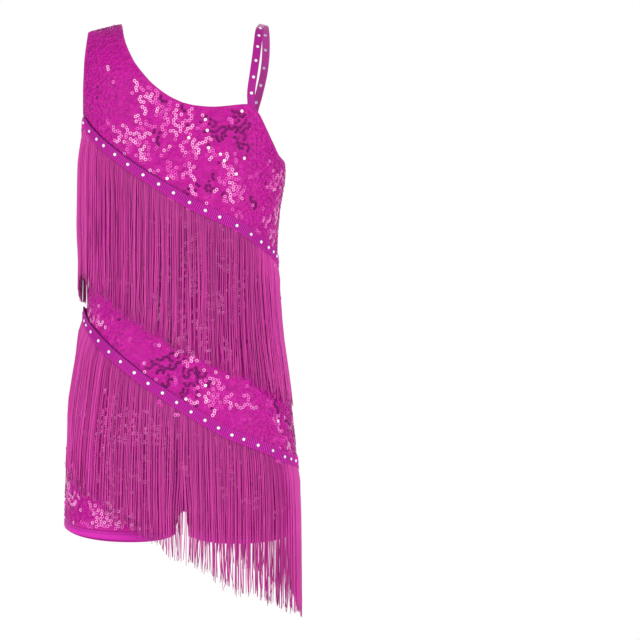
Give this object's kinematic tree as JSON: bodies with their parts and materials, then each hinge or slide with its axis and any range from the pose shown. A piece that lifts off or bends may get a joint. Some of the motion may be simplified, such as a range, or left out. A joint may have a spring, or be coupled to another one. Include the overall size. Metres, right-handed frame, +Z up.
{
  "type": "latin dance dress",
  "caption": "Hollow, worn-form one-piece with one wide shoulder, one thin strap, a cut-out back, short legs and slanting tiers of fringe.",
  "frame": {"origin": "inside of the wide (wearer's right) shoulder at its top, where the wearer holds the garment up", "axes": "+Z up the wearer, +X towards the wearer's left, -Y to the front"},
  "size_m": [0.2421, 0.1802, 0.5931],
  "materials": {
    "sequin_cloth": "stretch cloth sewn with small glossy sequins",
    "plain_lining": "matt fine knit",
    "satin_trim": "smooth satin stretch binding",
    "fringe": "soft twisted chainette with a low sheen",
    "rhinestone": "clear foiled faceted stones"
  },
  "bodies": {
    "root": {"front_panel": "sequin_cloth", "back_panel": "sequin_cloth", "front_lining": "plain_lining", "leg_binding_right": "satin_trim", "leg_binding_left": "satin_trim", "shoulder_strap": "satin_trim", "back_strap": "satin_trim", "fringe_upper": "fringe", "fringe_lower": "fringe"}
  },
  "joints": []
}
